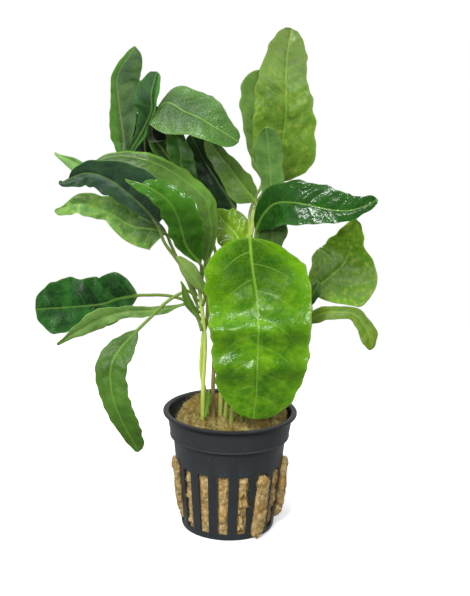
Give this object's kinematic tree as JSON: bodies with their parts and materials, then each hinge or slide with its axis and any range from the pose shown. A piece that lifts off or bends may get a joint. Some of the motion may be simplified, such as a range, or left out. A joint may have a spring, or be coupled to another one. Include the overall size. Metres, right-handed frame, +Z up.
{
  "type": "potted aquarium plant",
  "caption": "Lake cress in a small slotted net pot: long upright stems rise from a rockwool plug and carry broad, arching and drooping green leaves.",
  "frame": {"origin": "centre of the pot's flat base", "axes": "+Z up along the pot's axis, -Y towards the front of the plant, +X to the viewer's right"},
  "size_m": [0.1399, 0.0678, 0.2032],
  "materials": {
    "pot_plastic": "moulded polypropylene, dark grey, half gloss with light scuffs",
    "rockwool": "matte mineral fibre, tan with olive and ochre patches",
    "stem": "smooth and faintly waxy, pale yellow green",
    "leaf": "waxy and glossy above with arching side veins, paler and matte below"
  },
  "bodies": {
    "root": {"pot": "pot_plastic", "rockwool": "rockwool", "stem_left": "stem", "stem_left_back": "stem", "stem_tan": "stem", "stem_pale": "stem", "stem_centre": "stem", "stem_front": "stem", "stem_right": "stem", "stem_front_right": "stem", "leaf_front_big": "leaf", "leaf_right_glossy": "leaf", "leaf_right_narrow": "leaf", "leaf_right_tall": "leaf", "leaf_right_behind": "leaf", "leaf_centre_olive": "leaf", "leaf_centre_dark": "leaf", "leaf_centre_yellow": "leaf", "leaf_top_bent": "leaf", "leaf_centre_upright": "leaf", "leaf_tall_left": "leaf", "leaf_tall_left_front": "leaf", "leaf_left_shadow": "leaf", "leaf_left_arch": "leaf", "leaf_left_dark": "leaf", "leaf_left_front": "leaf", "leaf_left_tip_behind": "leaf", "leaf_left_spotted": "leaf", "leaf_left_low_dark": "leaf", "leaf_left_low_twist": "leaf", "leaf_left_hanging": "leaf", "leaf_low_small": "leaf", "leaf_left_pale": "leaf", "leaf_right_folded": "leaf", "leaf_right_droop": "leaf", "leaf_right_sprout": "leaf", "leaf_base_sprout": "leaf"}
  },
  "joints": []
}
